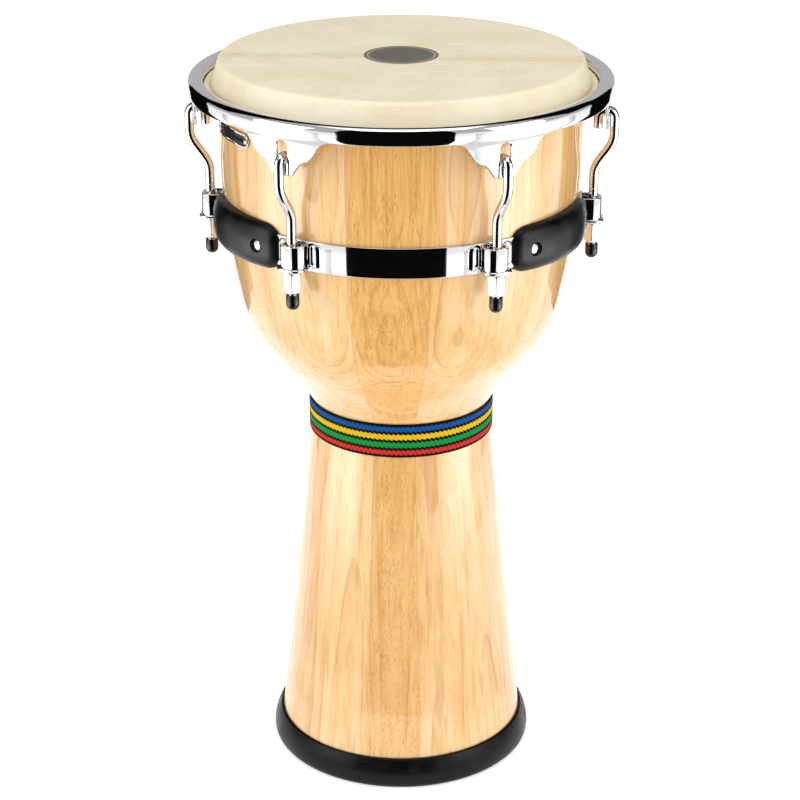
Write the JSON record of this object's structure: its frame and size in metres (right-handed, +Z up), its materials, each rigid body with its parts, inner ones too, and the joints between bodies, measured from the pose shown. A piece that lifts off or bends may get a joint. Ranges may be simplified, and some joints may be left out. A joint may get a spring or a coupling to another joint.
{
  "type": "djembe",
  "caption": "Goblet-shaped hand drum with a wooden shell, skin head, hook-bolt tuning hardware, side handles and a rubber base ring.",
  "frame": {"origin": "centre of the base ring's contact circle on the floor", "axes": "+Z up along the drum's axis towards the playing head; -Y towards the front, between the two handles; +X to the right of the front"},
  "size_m": [0.361, 0.352, 0.628],
  "materials": {
    "wood": "clear gloss lacquer over pale stave-glued hardwood",
    "rubber": "satin moulded black rubber",
    "cap_rubber": "smooth glossy black rubber",
    "webbing": "woven webbing with coloured stripes and black twill edges",
    "chrome": "polished chrome plate",
    "steel_wire": "plain drawn steel wire",
    "plain_steel": "zinc plated steel",
    "goatskin": "natural shaved goatskin, pale cream",
    "badge": "dark enamel in a bright metal border"
  },
  "bodies": {
    "drum": {"shell": "wood", "base_ring": "rubber", "waist_band": "webbing", "lug_band": "chrome", "head_skin": "goatskin", "skin_collar": "goatskin", "handle_left": "rubber", "handle_right": "rubber", "handle_bolt_1": "chrome", "handle_bolt_2": "chrome", "handle_bolt_3": "chrome", "handle_bolt_4": "chrome", "handle_nut_1": "plain_steel", "handle_nut_2": "plain_steel", "handle_nut_3": "plain_steel", "handle_nut_4": "plain_steel", "badge_plate": "badge", "badge_pin_1": "chrome", "badge_pin_2": "chrome", "lug_bracket_1": "chrome", "lug_bracket_2": "chrome", "lug_bracket_3": "chrome", "lug_bracket_4": "chrome", "lug_bracket_5": "chrome", "lug_bracket_6": "chrome", "lug_washer_1": "chrome", "lug_washer_2": "chrome", "lug_washer_3": "chrome", "lug_washer_4": "chrome", "lug_washer_5": "chrome", "lug_washer_6": "chrome"},
    "rim": {"tension_rim": "chrome", "flesh_hoop": "steel_wire"},
    "hook_1": {"tuning_hook_1": "chrome", "thread_cap_1": "cap_rubber"},
    "hook_2": {"tuning_hook_2": "chrome", "thread_cap_2": "cap_rubber"},
    "hook_3": {"tuning_hook_3": "chrome", "thread_cap_3": "cap_rubber"},
    "hook_4": {"tuning_hook_4": "chrome", "thread_cap_4": "cap_rubber"},
    "hook_5": {"tuning_hook_5": "chrome", "thread_cap_5": "cap_rubber"},
    "hook_6": {"tuning_hook_6": "chrome", "thread_cap_6": "cap_rubber"},
    "nut_1": {"tuning_nut_1": "chrome"},
    "nut_2": {"tuning_nut_2": "chrome"},
    "nut_3": {"tuning_nut_3": "chrome"},
    "nut_4": {"tuning_nut_4": "chrome"},
    "nut_5": {"tuning_nut_5": "chrome"},
    "nut_6": {"tuning_nut_6": "chrome"}
  },
  "joints": [
    {"name": "rim_slide", "type": "slide", "parent": "drum", "child": "rim", "axis": [0, 0, 1], "range_m": [-0.00624, 0.00187], "deforming": ["skin_collar"]},
    {"name": "hook_slide_1", "type": "slide", "parent": "drum", "child": "hook_1", "axis": [0, 0, 1], "range_m": [-0.00625, 0.00187]},
    {"name": "hook_slide_2", "type": "slide", "parent": "drum", "child": "hook_2", "axis": [0, 0, 1], "range_m": [-0.00625, 0.00187]},
    {"name": "hook_slide_3", "type": "slide", "parent": "drum", "child": "hook_3", "axis": [0, 0, 1], "range_m": [-0.00625, 0.00187]},
    {"name": "hook_slide_4", "type": "slide", "parent": "drum", "child": "hook_4", "axis": [0, 0, 1], "range_m": [-0.00625, 0.00187]},
    {"name": "hook_slide_5", "type": "slide", "parent": "drum", "child": "hook_5", "axis": [0, 0, 1], "range_m": [-0.00625, 0.00187]},
    {"name": "hook_slide_6", "type": "slide", "parent": "drum", "child": "hook_6", "axis": [0, 0, 1], "range_m": [-0.00625, 0.00187]},
    {"name": "nut_turn_1", "type": "hinge", "parent": "drum", "child": "nut_1", "pos_m": [-0.0804, 0.13926, 0.4782], "axis": [0, 0, 1], "range_deg": [-540, 1800]},
    {"name": "nut_turn_2", "type": "hinge", "parent": "drum", "child": "nut_2", "pos_m": [-0.1608, 0, 0.4782], "axis": [0, 0, 1], "range_deg": [-540, 1800]},
    {"name": "nut_turn_3", "type": "hinge", "parent": "drum", "child": "nut_3", "pos_m": [-0.0804, -0.13926, 0.4782], "axis": [0, 0, 1], "range_deg": [-540, 1800]},
    {"name": "nut_turn_4", "type": "hinge", "parent": "drum", "child": "nut_4", "pos_m": [0.0804, -0.13926, 0.4782], "axis": [0, 0, 1], "range_deg": [-540, 1800]},
    {"name": "nut_turn_5", "type": "hinge", "parent": "drum", "child": "nut_5", "pos_m": [0.1608, 0, 0.4782], "axis": [0, 0, 1], "range_deg": [-540, 1800]},
    {"name": "nut_turn_6", "type": "hinge", "parent": "drum", "child": "nut_6", "pos_m": [0.0804, 0.13926, 0.4782], "axis": [0, 0, 1], "range_deg": [-540, 1800]}
  ],
  "couplings": [
    {"joint": "hook_slide_1", "follows": "rim_slide", "ratio": 1},
    {"joint": "hook_slide_2", "follows": "rim_slide", "ratio": 1},
    {"joint": "hook_slide_3", "follows": "rim_slide", "ratio": 1},
    {"joint": "hook_slide_4", "follows": "rim_slide", "ratio": 1},
    {"joint": "hook_slide_5", "follows": "rim_slide", "ratio": 1},
    {"joint": "hook_slide_6", "follows": "rim_slide", "ratio": 1},
    {"joint": "nut_turn_1", "follows": "rim_slide", "rad_per_m": -5026.5},
    {"joint": "nut_turn_2", "follows": "rim_slide", "rad_per_m": -5026.5},
    {"joint": "nut_turn_3", "follows": "rim_slide", "rad_per_m": -5026.5},
    {"joint": "nut_turn_4", "follows": "rim_slide", "rad_per_m": -5026.5},
    {"joint": "nut_turn_5", "follows": "rim_slide", "rad_per_m": -5026.5},
    {"joint": "nut_turn_6", "follows": "rim_slide", "rad_per_m": -5026.5}
  ]
}
